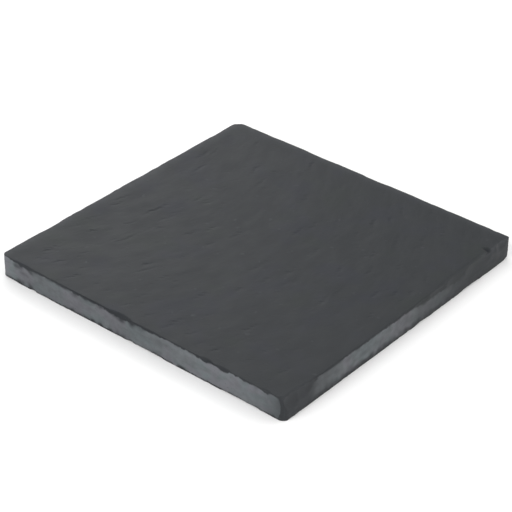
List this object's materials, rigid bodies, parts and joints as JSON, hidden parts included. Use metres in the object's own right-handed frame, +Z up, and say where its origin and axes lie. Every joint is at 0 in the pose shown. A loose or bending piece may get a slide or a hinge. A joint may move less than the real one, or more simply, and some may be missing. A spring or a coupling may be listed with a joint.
{
  "type": "slate slab",
  "caption": "Square slab of cleft slate with cut sides and flaked edges, used flat as a coaster, small serving board or display base.",
  "frame": {"origin": "under the middle of the slab, on the plane that it rests on", "axes": "+Z up through the slab's thickness, +X and +Y square to two of the cut sides; the cleft grain of the top runs roughly along Y"},
  "size_m": [0.1, 0.0999, 0.007],
  "materials": {
    "slate": "cleft, low satin sheen, paler on the cut sides"
  },
  "bodies": {
    "root": {"slate_slab": "slate"}
  },
  "joints": []
}
